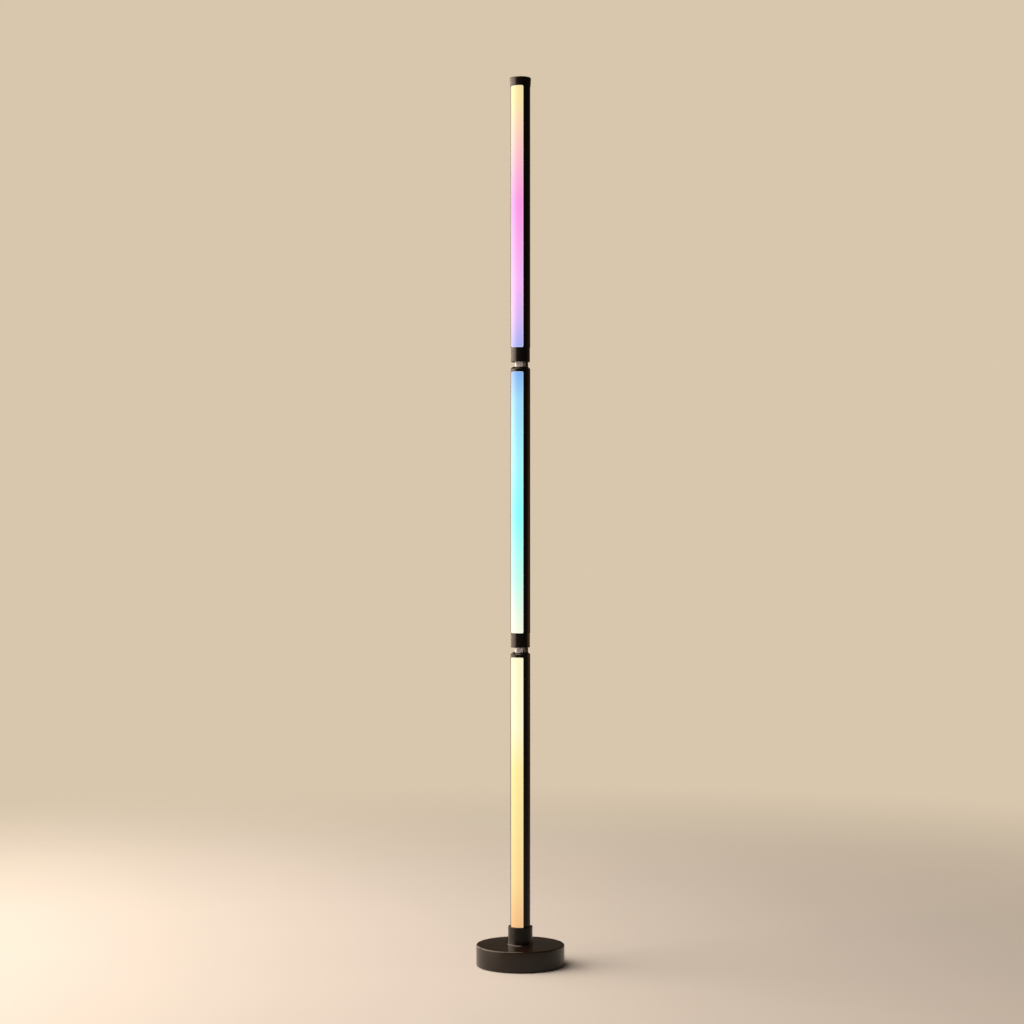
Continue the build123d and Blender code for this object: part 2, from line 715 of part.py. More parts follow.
with BuildPart() as plate_screws:
    with BuildSketch(Plane.XY.offset(PAD_T)):
        with PolarLocations(post_circle_r, 4, start_angle=45):
            Circle(PLATE_SCREW_HEAD_D / 2)
    extrude(amount=-PLATE_SCREW_HEAD_T)
    chamfer(plate_screws.edges().group_by(Axis.Z)[0], PLATE_SCREW_HEAD_T / 2)
    with BuildSketch(Plane.XY.offset(PAD_T)):
        with PolarLocations(post_circle_r, 4, start_angle=45):
            Circle(PLATE_SCREW_D / 2)
    extrude(amount=PLATE_SCREW_LENGTH)
save(plate_screws, "plate_screws")

# Foot pad: a foam ring under the bottom plate
with BuildPart() as foot_pad:
    with BuildSketch():
        Circle(pad_r)
        Circle(pad_r - PAD_W, mode=Mode.SUBTRACT)
    extrude(amount=PAD_T)
save(foot_pad, "foot_pad")

# Clamp bolt: a hollow hexagon bolt, from under the weight up into the lower plug
with BuildPart() as clamp_bolt:
    with BuildSketch(Plane.XY.offset(bolt_head_foot)):
        RegularPolygon(BOLT_HEAD_AF / 2, 6, major_radius=False)
    extrude(amount=BOLT_HEAD_T)
    with BuildSketch(Plane.XY.offset(bolt_head_foot)):
        Circle(BOLT_D / 2)
    extrude(amount=bolt_top - bolt_head_foot)
    with Locations((0, 0, bolt_top)):
        Hole(BOLT_BORE_D / 2)
save(clamp_bolt, "clamp_bolt")

with BuildPart() as clamp_washer:
    with BuildSketch(Plane.XY.offset(bolt_roof - BOLT_WASHER_T)):
        Circle(BOLT_WASHER_D / 2)
        Circle(BOLT_D / 2 + CLEAR, mode=Mode.SUBTRACT)
    extrude(amount=BOLT_WASHER_T)
save(clamp_washer, "clamp_washer")

# Control board, upright behind the back wall, with its parts and screws
with BuildPart() as control_board:
    with BuildSketch(facing_back(board_face_y, control_board_foot)):
        Rectangle(CONTROL_BOARD_W, CONTROL_BOARD_H, align=(Align.CENTER, Align.MIN))
    extrude(amount=-CONTROL_BOARD_T)
    with Locations(facing_back(board_face_y, board_screw_z)):
        with GridLocations(2 * BOARD_SCREW_X, 1, 2, 1):
            Hole(BOARD_SCREW_D / 2 + SEAT)
save(control_board, "control_board")

with BuildPart() as board_parts:
    with BuildSketch(facing_back(board_face_y, controller_z, CONTROLLER_X)):
        Rectangle(CONTROLLER_SIZE, CONTROLLER_SIZE)
    extrude(amount=CONTROLLER_T)
    with BuildSketch(facing_back(board_face_y, capacitor_z, CAPACITOR_X)):
        Circle(CAPACITOR_D / 2)
    extrude(amount=CAPACITOR_L)
    with BuildSketch(facing_back(board_face_y - CONTROL_BOARD_T, harness_z)):
        Rectangle(CONNECTOR_W, CONNECTOR_H)
    extrude(amount=-CONNECTOR_T)
save(board_parts, "board_parts")

with BuildPart() as board_screws:
    with BuildSketch(facing_back(board_face_y, board_screw_z)):
        with GridLocations(2 * BOARD_SCREW_X, 1, 2, 1):
            Circle(BOARD_SCREW_HEAD_D / 2)
    extrude(amount=BOARD_SCREW_HEAD_T)
    with BuildSketch(facing_back(board_face_y, board_screw_z)):
        with GridLocations(2 * BOARD_SCREW_X, 1, 2, 1):
            Circle(BOARD_SCREW_D / 2)
    extrude(amount=-BOARD_SCREW_LENGTH)
save(board_screws, "board_screws")

# Power inlet: a barrel jack with its centre pin, behind the hole in the cover
with BuildPart() as dc_jack:
    with BuildSketch(facing_back(board_face_y, inlet_z)):
        Rectangle(JACK_W, JACK_H)
    extrude(amount=jack_face_y - board_face_y)
    with Locations(facing_back(jack_face_y, inlet_z)):
        Hole(JACK_BORE_D / 2, depth=JACK_BORE_DEPTH)
    with BuildSketch(facing_back(jack_face_y - JACK_BORE_DEPTH, inlet_z)):
        Circle(JACK_PIN_D / 2)
    extrude(amount=JACK_PIN_LENGTH)
save(dc_jack, "dc_jack")

# Push switch on the board, its plunger, and the button in the back wall
with BuildPart() as push_switch:
    with BuildSketch(facing_back(board_face_y, button_z)):
        Rectangle(SWITCH_SIZE, SWITCH_SIZE)
    extrude(amount=SWITCH_T)
    with Locations(facing_back(board_face_y + SWITCH_T, button_z)):
        Hole(PLUNGER_D / 2 + RUN, depth=SWITCH_CAVITY_DEPTH)
save(push_switch, "push_switch")

with BuildPart() as switch_plunger:
    with BuildSketch(facing_back(plunger_tip_y, button_z)):
        Circle(PLUNGER_D / 2)
    extrude(amount=-PLUNGER_RISE - PLUNGER_IN_SWITCH)
save(switch_plunger, "switch_plunger")

with BuildPart() as power_button:
    with BuildSketch(facing_back(plunger_tip_y, button_z)):
        Circle(BUTTON_STEM_D / 2)
    extrude(amount=flange_wall_y - plunger_tip_y)
    with BuildSketch(facing_back(flange_wall_y, button_z)):
        Circle(BUTTON_FLANGE_D / 2)
    extrude(amount=-BUTTON_FLANGE_T)
    with BuildSketch(facing_back(flange_wall_y, button_z)):
        Circle(BUTTON_D / 2)
    extrude(amount=cover_r - BUTTON_SINK - flange_wall_y)
    fillet(power_button.edges().group_by(Axis.Y)[-1], BUTTON_EDGE)
save(power_button, "power_button")

# Supply harness: from the board's connector, along the groove and up through the hollow bolt to the ribbon
with BuildPart() as supply_harness:
    connector_y = board_face_y - CONTROL_BOARD_T - CONNECTOR_T
    with BuildLine():
        FilletPolyline(
            (0, connector_y, harness_z),
            (0, 0, harness_z),
            (0, 0, lower_start + DECK_SETBACK),
            radius=HARNESS_BEND_R,
        )
    with BuildSketch(facing_back(connector_y, harness_z)):
        Circle(HARNESS_D / 2)
    sweep()
save(supply_harness, "supply_harness")
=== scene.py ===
"""LED floor lamp: the looks of its pieces, in the order in which the lamp is put together."""

import json
import math

import bmesh
import bpy
from mathutils import Matrix, Vector

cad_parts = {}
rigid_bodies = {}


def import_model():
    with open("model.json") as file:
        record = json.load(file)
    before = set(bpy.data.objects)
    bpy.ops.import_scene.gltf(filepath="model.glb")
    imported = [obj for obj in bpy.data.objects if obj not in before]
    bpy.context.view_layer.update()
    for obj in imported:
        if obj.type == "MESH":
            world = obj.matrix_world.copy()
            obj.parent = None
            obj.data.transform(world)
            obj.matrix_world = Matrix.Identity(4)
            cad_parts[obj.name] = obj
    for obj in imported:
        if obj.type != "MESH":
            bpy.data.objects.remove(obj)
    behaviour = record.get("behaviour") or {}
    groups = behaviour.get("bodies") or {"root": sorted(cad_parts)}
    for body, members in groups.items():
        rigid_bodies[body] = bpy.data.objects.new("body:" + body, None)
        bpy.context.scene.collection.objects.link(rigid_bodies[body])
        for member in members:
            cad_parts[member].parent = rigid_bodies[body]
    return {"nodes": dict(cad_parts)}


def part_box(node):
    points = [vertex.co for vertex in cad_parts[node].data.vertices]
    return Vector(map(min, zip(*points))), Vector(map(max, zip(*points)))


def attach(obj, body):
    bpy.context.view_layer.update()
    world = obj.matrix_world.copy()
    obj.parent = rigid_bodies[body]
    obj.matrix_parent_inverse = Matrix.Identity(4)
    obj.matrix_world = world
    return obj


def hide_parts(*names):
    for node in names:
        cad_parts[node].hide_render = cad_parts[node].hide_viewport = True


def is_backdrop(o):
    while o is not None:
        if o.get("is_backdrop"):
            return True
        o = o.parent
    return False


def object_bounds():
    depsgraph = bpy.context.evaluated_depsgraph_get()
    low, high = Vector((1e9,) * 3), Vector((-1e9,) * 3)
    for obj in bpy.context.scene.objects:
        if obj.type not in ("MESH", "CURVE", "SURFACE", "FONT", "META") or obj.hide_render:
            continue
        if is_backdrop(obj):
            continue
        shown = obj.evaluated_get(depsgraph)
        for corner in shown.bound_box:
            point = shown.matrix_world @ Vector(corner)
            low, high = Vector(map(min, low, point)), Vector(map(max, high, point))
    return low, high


for leftover in list(bpy.data.objects):
    bpy.data.objects.remove(leftover)

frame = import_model()
cad_low, cad_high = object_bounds()


# Foot pad: a ring die-cut from black closed-cell foam sheet, glued under the bottom plate.
# It keeps the base from sliding and lifts the cover's rim just clear of the floor.
MM = 0.001


def linear(hex_colour):
    """An sRGB hex colour as linear RGBA."""
    shares = [int(hex_colour[i : i + 2], 16) / 255 for i in (1, 3, 5)]
    return [*(s / 12.92 if s <= 0.04045 else ((s + 0.055) / 1.055) ** 2.4 for s in shares), 1.0]


def add(tree, kind, feeds=None, **settings):
    """Adds a node with its settings. Feeds are input values, or the sockets or nodes that drive them.

    A node drives an input by its first output.
    """
    node = tree.nodes.new(kind)
    for name, value in settings.items():
        setattr(node, name, value)
    for key, value in (feeds or {}).items():
        if isinstance(value, bpy.types.Node):
            value = value.outputs[0]
        if isinstance(value, bpy.types.NodeSocket):
            tree.links.new(value, node.inputs[key])
        else:
            node.inputs[key].default_value = value
    return node


def start_finish(name, **sockets):
    """A new material with a Principled shader: returns it, its tree, its shader and Object coordinates."""
    finish = bpy.data.materials.new(name)
    finish.use_nodes = True
    tree = finish.node_tree
    tree.nodes.clear()
    shader = add(tree, "ShaderNodeBsdfPrincipled", {k.replace("_", " "): v for k, v in sockets.items()})
    add(tree, "ShaderNodeOutputMaterial", {"Surface": shader})
    place = add(tree, "ShaderNodeTexCoord").outputs["Object"]
    return finish, tree, shader, place


def vary(tree, shader, tones, gloss=None, relief=None, span=(0.0, 1.0)):
    """Lets patterns drive a finish.

    Tones are a pattern and the colours at its low and high ends, which lie at the span's two ends. Gloss is a
    pattern and the roughness at its two ends, and relief a pattern of heights, its strength and its depth.
    """
    pattern, *colours = tones
    tint = add(tree, "ShaderNodeValToRGB", {"Fac": pattern})
    for stop, position, colour in zip(tint.color_ramp.elements, span, colours):
        stop.position = position
        stop.color = linear(colour)
    tree.links.new(tint.outputs["Color"], shader.inputs["Base Color"])
    if gloss:
        pattern, low, high = gloss
        rough = add(tree, "ShaderNodeMapRange", {"Value": pattern, "To Min": low, "To Max": high})
        tree.links.new(rough.outputs["Result"], shader.inputs["Roughness"])
    if relief:
        pattern, strength, depth = relief
        bump = add(tree, "ShaderNodeBump", {"Height": pattern, "Strength": strength, "Distance": depth})
        tree.links.new(bump.outputs["Normal"], shader.inputs["Normal"])


def dress(finish, *names):
    """Gives CAD pieces their finish."""
    for name in names:
        for slot in frame["nodes"][name].material_slots:
            slot.material = finish


# Closed-cell EVA foam, cut from sheet: dead matt, with a fine open grain of burst cells about 0.7 mm across.
foam, tree, shader, place = start_finish("closed_cell_foam", Roughness=0.95, IOR=1.4)
cells = add(tree, "ShaderNodeTexVoronoi", {"Vector": place, "Scale": 1 / (0.7 * MM)})
vary(tree, shader, (cells, "#0f0f0f", "#232221"), relief=(cells, 0.6, 0.1 * MM))
dress(foam, "foot_pad")


# Bottom plate: a disc punched from zinc-plated sheet steel. It closes the base from below and is held by four
# screws. The clamp bolt and its washer, the circlips and the retaining washers have the same plating.

# Zinc plating: a pale grey metal, its crystals 2.5 mm or so across just told apart by their gloss.
zinc, tree, shader, place = start_finish("zinc_plated_steel", Metallic=1.0)
crystals = add(tree, "ShaderNodeTexVoronoi", {"Vector": place, "Scale": 1 / (2.5 * MM)})
vary(tree, shader, (crystals.outputs["Color"], "#a3a5a8", "#b9bbbd"), gloss=(crystals, 0.28, 0.46))
dress(zinc, "bottom_plate", "clamp_washer", "clamp_bolt")
for joint in ("lower", "middle"):
    dress(zinc, f"{joint}_retaining_washer", f"{joint}_circlip")


# Screws: cap screws with a hexagon socket. Four hold the bottom plate, two the control board, and five
# countersunk ones in black oxide hold the end fittings from the back of the channels.
def start_tree(name, sizes, finishes, ways=()):
    """A new Geometry Nodes tree with named inputs for sizes, ways and finishes: returns it and its inputs."""
    tree = bpy.data.node_groups.new(name, "GeometryNodeTree")
    inputs = [("Geometry", "NodeSocketGeometry")]
    inputs += [(size, "NodeSocketFloat") for size in sizes]
    inputs += [(way, "NodeSocketRotation") for way in ways]
    inputs += [(finish, "NodeSocketMaterial") for finish in finishes]
    for label, kind in inputs:
        tree.interface.new_socket(label, in_out="INPUT", socket_type=kind)
    tree.interface.new_socket("Geometry", in_out="OUTPUT", socket_type="NodeSocketGeometry")
    return tree, add(tree, "NodeGroupInput").outputs


def finished(tree, shape, finish):
    """Ends a branch of a tree: its instances are made real and get their finish."""
    real = add(tree, "GeometryNodeRealizeInstances", {"Geometry": shape})
    return add(tree, "GeometryNodeSetMaterial", {"Geometry": real, "Material": finish})


def screw_tree():
    """Geometry Nodes that put a screw on each vertex of the piece, turned the way it is driven."""
    head_sizes = ("Head Radius", "Head Foot Radius", "Head Depth", "Socket Radius", "Socket Depth")
    shank_sizes = ("Shank Radius", "Shank Length")
    tree, given = start_tree("socket_screws", (*head_sizes, *shank_sizes), ["Finish"], ["Driven Way"])
    head_sides, hexagon, shank_sides = 40, 6, 32

    def raised(part, height):
        """A part of the screw moved up to a height."""
        spot = add(tree, "ShaderNodeCombineXYZ", {"Z": height})
        return add(tree, "GeometryNodeTransform", {"Geometry": part, "Translation": spot})

    head = add(
        tree,
        "GeometryNodeMeshCone",
        {
            "Vertices": head_sides,
            "Radius Top": given["Head Radius"],
            "Radius Bottom": given["Head Foot Radius"],
            "Depth": given["Head Depth"],
        },
    )
    sunk = add(tree, "ShaderNodeMath", {0: given["Head Depth"], 1: -1.0}, operation="MULTIPLY")
    cut = add(tree, "ShaderNodeMath", {0: given["Socket Depth"], 1: 2.0}, operation="MULTIPLY")
    socket = add(
        tree,
        "GeometryNodeMeshCylinder",
        {"Vertices": hexagon, "Radius": given["Socket Radius"], "Depth": cut},
    )
    hollowed = add(
        tree,
        "GeometryNodeMeshBoolean",
        {"Mesh 1": raised(head, sunk), "Mesh 2": socket},
        operation="DIFFERENCE",
    )
    shank = add(
        tree,
        "GeometryNodeMeshCylinder",
        {"Vertices": shank_sides, "Radius": given["Shank Radius"], "Depth": given["Shank Length"]},
    )
    half = add(tree, "ShaderNodeMath", {0: given["Shank Length"], 1: -0.5}, operation="MULTIPLY")
    below = add(tree, "ShaderNodeMath", {0: half, 1: sunk}, operation="ADD")
    screw = add(tree, "GeometryNodeJoinGeometry")
    tree.links.new(hollowed.outputs["Mesh"], screw.inputs["Geometry"])
    tree.links.new(raised(shank, below).outputs["Geometry"], screw.inputs["Geometry"])
    placed = add(
        tree,
        "GeometryNodeInstanceOnPoints",
        {"Points": given["Geometry"], "Instance": screw, "Rotation": given["Driven Way"]},
    )
    add(tree, "NodeGroupOutput", {"Geometry": finished(tree, placed, given["Finish"])})
    return tree


def put(name, data):
    """A new object in the scene that holds a mesh, a light or a camera."""
    item = bpy.data.objects.new(name, data)
    bpy.context.scene.collection.objects.link(item)
    return item


usual_crease, weld_gap = math.radians(35), 0.001 * MM


def smooth(mesh, crease=usual_crease):
    """Smooth shading that breaks at edges sharper than the crease angle, with every face turned outwards."""
    work = bmesh.new()
    work.from_mesh(mesh)
    bmesh.ops.remove_doubles(work, verts=work.verts, dist=weld_gap)
    bmesh.ops.recalc_face_normals(work, faces=work.faces)
    work.to_mesh(mesh)
    work.free()
    mesh.shade_smooth()
    mesh.set_sharp_from_angle(angle=crease)


def make_plain(piece, crease=usual_crease):
    """Turns a piece and its modifiers into a plain mesh, its shading broken at the crease angle."""
    shown = piece.evaluated_get(bpy.context.evaluated_depsgraph_get())
    piece.data = bpy.data.meshes.new_from_object(shown)
    piece.modifiers.clear()
    smooth(piece.data, crease)


def grown(name, tree, points, edge=0.0, **inputs):
    """A plain mesh piece grown by a tree on the given points, with its sharp edges rounded by edge metres."""
    seed = bpy.data.meshes.new(name)
    seed.from_pydata(points, [], [])
    piece = put(name, seed)
    grow = piece.modifiers.new("grow", "NODES")
    grow.node_group = tree
    for socket in tree.interface.items_tree:
        if socket.in_out == "INPUT" and socket.name in inputs:
            grow[socket.identifier] = inputs[socket.name]
    if edge:
        ease = piece.modifiers.new("edges", "BEVEL")
        ease.width = edge
        ease.segments = 2
        ease.limit_method = "ANGLE"
        ease.angle_limit = math.radians(40)
    make_plain(piece)
    return piece


screws = screw_tree()
driven_up, driven_from_behind = (math.pi, 0.0, 0.0), (-math.pi / 2, 0.0, 0.0)
low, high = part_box("plate_screws")
head_r = 4.0 * MM
reach = high.x - head_r
plate_heads = grown(
    "bottom_plate_screws",
    screws,
    [(x, y, low.z) for x in (-reach, reach) for y in (-reach, reach)],
    edge=0.25 * MM,
    **{
        "Head Radius": head_r,
        "Head Foot Radius": head_r,
        "Head Depth": 1.4 * MM,
        "Socket Radius": 1.5 * MM,
        "Socket Depth": 0.9 * MM,
        "Shank Radius": 2.0 * MM,
        "Shank Length": 12.0 * MM,
        "Driven Way": driven_up,
        "Finish": zinc,
    },
)
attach(plate_heads, "base")
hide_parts("plate_screws")

low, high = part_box("board_screws")
head_r = 2.75 * MM
board_heads = grown(
    "control_board_screws",
    screws,
    [(x, high.y, (low.z + high.z) / 2) for x in (low.x + head_r, high.x - head_r)],
    edge=0.2 * MM,
    **{
        "Head Radius": head_r,
        "Head Foot Radius": head_r,
        "Head Depth": 2.0 * MM,
        "Socket Radius": 1.25 * MM,
        "Socket Depth": 1.2 * MM,
        "Shank Radius": 1.5 * MM,
        "Shank Length": 8.0 * MM,
        "Driven Way": driven_from_behind,
        "Finish": zinc,
    },
)
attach(board_heads, "base")
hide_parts("board_screws")

# Black-oxide steel: a thin oiled conversion coat, near black with a low metal gloss.
oxide, tree, shader, place = start_finish("black_oxide_steel", Metallic=1.0)
mottle = add(tree, "ShaderNodeTexNoise", {"Vector": place, "Scale": 1 / (1.2 * MM), "Detail": 3.0})
vary(tree, shader, (mottle, "#1d1c1b", "#34322f"), gloss=(mottle, 0.3, 0.5))

section_body = {"lower": "base", "middle": "middle_section", "upper": "upper_section"}
head_r = 2.35 * MM
for section, body in section_body.items():
    low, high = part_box(f"{section}_screws")
    # a box less tall than two heads holds a single screw
    single = high.z - low.z < 4 * head_r
    heights = [(low.z + high.z) / 2] if single else [low.z + head_r, high.z - head_r]
    heads = grown(
        f"{section}_channel_screws",
        screws,
        [(0.0, high.y, z) for z in heights],
        edge=0.1 * MM,
        **{
            "Head Radius": head_r,
            "Head Foot Radius": 1.25 * MM,
            "Head Depth": 1.1 * MM,
            "Socket Radius": 0.9 * MM,
            "Socket Depth": 0.8 * MM,
            "Shank Radius": 1.25 * MM,
            "Shank Length": 6.9 * MM,
            "Driven Way": driven_from_behind,
            "Finish": oxide,
        },
    )
    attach(heads, body)
    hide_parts(f"{section}_screws")


# Weight: a disc of grey iron, cast in sand, with posts for the bottom plate and bosses for the control board.
# The clamp bolt holds it under the cover's ceiling, and it carries most of the lamp's mass.

# As cast: dull dark grey, rough with sand grains about 0.8 mm across.
iron, tree, shader, place = start_finish("sand_cast_iron", Metallic=0.7, Roughness=0.72)
sand = add(tree, "ShaderNodeTexNoise", {"Vector": place, "Scale": 1 / (0.8 * MM), "Detail": 4.0})
vary(tree, shader, (sand, "#3a3938", "#5d5b58"), relief=(sand, 0.8, 0.15 * MM))
dress(iron, "base_weight")


# Control board: green glass-fibre board upright behind the back wall, with a controller, a capacitor, the
# inlet jack and the push switch soldered on. Black epoxy and nylon mouldings stand for the components.

# Solder resist: a glossy green varnish with the copper tracks, 1.6 mm apart here, showing as a lighter green.
resist, tree, shader, place = start_finish("green_solder_resist", Roughness=0.32, IOR=1.55)
tracks = add(
    tree,
    "ShaderNodeTexBrick",
    {
        "Vector": place,
        "Scale": 1 / (3.2 * MM),
        "Mortar Size": 0.12,
        "Color1": linear("#0d5a30"),
        "Color2": linear("#0f6536"),
        "Mortar": linear("#1d8049"),
    },
)
tree.links.new(tracks.outputs["Color"], shader.inputs["Base Color"])
dress(resist, "control_board")

# Glass-filled nylon: matt black with a faint grey flow mottle about 2 mm across.
nylon, tree, shader, place = start_finish("moulded_black_nylon", IOR=1.53)
flow = add(tree, "ShaderNodeTexNoise", {"Vector": place, "Scale": 1 / (2.0 * MM), "Detail": 5.0})
vary(tree, shader, (flow, "#131313", "#262524"), gloss=(flow, 0.42, 0.6))
dress(nylon, "board_parts", "push_switch", "switch_plunger")

# Inlet jack: a black moulded barrel socket with a plated pin on its axis, seen through the hole in the cover.
jack_finish, tree, shader, place = start_finish("jack_moulding_and_pin", IOR=1.53)
pin_r = 1.3 * MM
low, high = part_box("dc_jack")
jack_axis = (low + high) / 2
offset = add(tree, "ShaderNodeVectorMath", {0: place, 1: tuple(jack_axis)}, operation="SUBTRACT")
across = add(tree, "ShaderNodeVectorMath", {0: offset, 1: (1.0, 0.0, 1.0)}, operation="MULTIPLY")
out = add(tree, "ShaderNodeVectorMath", {0: across}, operation="LENGTH")
on_pin = add(tree, "ShaderNodeMath", {0: out.outputs["Value"], 1: pin_r}, operation="LESS_THAN")
vary(tree, shader, (on_pin, "#171717", "#cfcabd"), gloss=(on_pin, 0.45, 0.22))
tree.links.new(on_pin.outputs["Value"], shader.inputs["Metallic"])
dress(jack_finish, "dc_jack")

# Supply harness: a two-core lead in a soft vinyl jacket, from the board up through the hollow clamp bolt.
# The vinyl is dull black with faint wrinkles about 1.5 mm apart.
jacket, tree, shader, place = start_finish("soft_vinyl_jacket", IOR=1.52)
wrinkle = add(tree, "ShaderNodeTexNoise", {"Vector": place, "Scale": 1 / (1.5 * MM), "Detail": 3.0})
vary(tree, shader, (wrinkle, "#141414", "#222120"), gloss=(wrinkle, 0.45, 0.62))
dress(jacket, "supply_harness")


# Base cover: a black ABS shell moulded in one piece, with a softly rounded top rim. A chamfered round hole
# at the back lets the power plug through, and a smaller one above it holds the button.
def rounded(outline, steps=6):
    """An outline of (radius, height, corner round) points in millimetres, its corners turned to arcs."""
    points = []
    count = len(outline)
    for i, (r, z, corner) in enumerate(outline):
        here = Vector((r, z))
        if corner == 0:
            points.append(here)
            continue
        back = (Vector(outline[i - 1][:2]) - here).normalized()
        ahead = (Vector(outline[(i + 1) % count][:2]) - here).normalized()
        half = back.angle(ahead) / 2
        run = corner / math.tan(half)
        centre = here + (back + ahead).normalized() * (corner / math.sin(half))
        start = here + back * run - centre
        end = here + ahead * run - centre
        turn = start.angle_signed(end)
        for step in range(steps + 1):
            spin = Matrix.Rotation(-turn * step / steps, 2)
            points.append(centre + spin @ start)
    return points


def mesh_from(name, work):
    """A new mesh with what a bmesh holds, which is then let go."""
    mesh = bpy.data.meshes.new(name)
    work.to_mesh(mesh)
    work.free()
    return mesh


def turned(name, outline, place=Matrix(), segments=160):
    """A round piece: a closed outline in millimetres spun about the pole's axis, then set in its place."""
    work = bmesh.new()
    rings = []
    for r, z in rounded(outline):
        if r == 0:
            rings.append([work.verts.new((0.0, 0.0, z * MM))] * segments)
            continue
        angles = (2 * math.pi * i / segments for i in range(segments))
        rings.append([work.verts.new((r * MM * math.cos(a), r * MM * math.sin(a), z * MM)) for a in angles])
    for ring, above in zip(rings, rings[1:] + rings[:1]):
        for i in range(segments):
            j = (i + 1) % segments
            corners = list(dict.fromkeys((ring[i], ring[j], above[j], above[i])))
            if len(corners) > 2:
                work.faces.new(corners)
    bmesh.ops.transform(work, matrix=place, verts=work.verts)
    piece = put(name, mesh_from(name, work))
    smooth(piece.data)
    return piece


def pierced(piece, cutters, crease=usual_crease):
    """Cuts pieces out of another one and leaves it a plain mesh, its shading broken at the crease angle."""
    for cutter in cutters:
        cut = piece.modifiers.new("cut", "BOOLEAN")
        cut.object = cutter
        cut.solver = "EXACT"
    make_plain(piece, crease)
    for cutter in cutters:
        bpy.data.objects.remove(cutter)


def facing_back(z):
    """Turns an upright round piece to lie along +Y, at a height above the floor in millimetres."""
    return Matrix.Translation((0.0, 0.0, z * MM)) @ Matrix.Rotation(-math.pi / 2, 4, "X")


cover_r = cad_high.x / MM
cover_low, cover_high = (v.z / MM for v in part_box("base_cover"))
inlet_z, button_z = (sum(v.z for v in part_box(n)) / 2 / MM for n in ("dc_jack", "power_button"))
bolt_r, wall, inlet_r, button_hole_r, mouth_chamfer = 5.05, 2.5, 4.5, 3.9, 0.45
rim_round, foot_round, lip_round, ceiling_round, hole_round = 2.0, 0.8, 0.3, 1.0, 0.2
base_cover = turned(
    "base_cover_shell",
    [
        (bolt_r, cover_high, hole_round),
        (cover_r, cover_high, rim_round),
        (cover_r, cover_low, foot_round),
        (cover_r - wall, cover_low, lip_round),
        (cover_r - wall, cover_high - wall, ceiling_round),
        (bolt_r, cover_high - wall, hole_round),
    ],
    segments=256,
)
cut_from, mouth_from, cut_to = cover_r - 3 * wall, cover_r - mouth_chamfer, cover_r + mouth_chamfer
cutters = []
for hole_z, hole_r in ((inlet_z, inlet_r), (button_z, button_hole_r)):
    cutter_outline = [
        (0.0, cut_from, 0.0),
        (hole_r, cut_from, 0.0),
        (hole_r, mouth_from, 0.0),
        (hole_r + 2 * mouth_chamfer, cut_to, 0.0),
        (0.0, cut_to, 0.0),
    ]
    cutters.append(turned("hole_cutter", cutter_outline, facing_back(hole_z), segments=64))
pierced(base_cover, cutters)

# Black ABS with a fine spark-eroded texture: a warm off-black with a broad satin sheen. The 0.6 mm grain
# breaks the gloss a little, and faint smears some 30 mm long make it uneven, as handling does.
abs_base, tree, shader, place = start_finish("spark_textured_black_abs", IOR=1.53, Specular_IOR_Level=0.35)
grain = add(tree, "ShaderNodeTexNoise", {"Vector": place, "Scale": 1 / (0.6 * MM), "Detail": 2.0})
smear = add(tree, "ShaderNodeTexNoise", {"Vector": place, "Scale": 1 / (30 * MM), "Detail": 3.0})
satin, texture = (smear, 0.18, 0.3), (grain, 0.25, 0.02 * MM)
vary(tree, shader, (smear, "#110a05", "#191008"), satin, texture, span=(0.3, 0.7))
base_cover.data.materials.clear()
base_cover.data.materials.append(abs_base)
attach(base_cover, "base")
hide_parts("base_cover")


# Power button: a small black ABS button with a dished face, moulded with its stem and a flange that keeps it
# behind the back wall. It lies flush and is pressed in against the switch's plunger.
button_low, button_high = (v.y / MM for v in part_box("power_button"))
button_r, flange_r, stem_r = 3.6, 4.6, 2.5
flange_behind, flange_t, dish_margin, dish_lip, dish_depth = 2.8, 1.5, 1.0, 0.1, 0.6
edge_round, step_round, face_round = 0.2, 0.1, 0.5
flange_front = button_high - flange_behind
flange_back = flange_front - flange_t
power_button = turned(
    "power_button_cap",
    [
        (0.0, button_low, 0.0),
        (stem_r, button_low, edge_round),
        (stem_r, flange_back, edge_round),
        (flange_r, flange_back, edge_round),
        (flange_r, flange_front, edge_round),
        (button_r, flange_front, step_round),
        (button_r, button_high, face_round),
        (button_r - dish_margin, button_high - dish_lip, edge_round),
        (0.0, button_high - dish_depth, 0.0),
    ],
    facing_back(button_z),
    segments=64,
)

# Black ABS from a honed tool: a deeper black than the base, with a finer grain, 0.4 mm here, and a weaker
# sheen. It is used for the button and for all the mouldings of the pole.
abs_smooth, tree, shader, place = start_finish("satin_black_abs", IOR=1.53, Specular_IOR_Level=0.26)
smear = add(tree, "ShaderNodeTexNoise", {"Vector": place, "Scale": 1 / (12 * MM), "Detail": 3.0})
grain = add(tree, "ShaderNodeTexNoise", {"Vector": place, "Scale": 1 / (0.4 * MM), "Detail": 1.0})
satin, texture = (smear, 0.24, 0.34), (grain, 0.15, 0.012 * MM)
vary(tree, shader, (smear, "#060504", "#0c0a08"), satin, texture)
power_button.data.materials.append(abs_smooth)
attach(power_button, "button")
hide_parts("power_button")


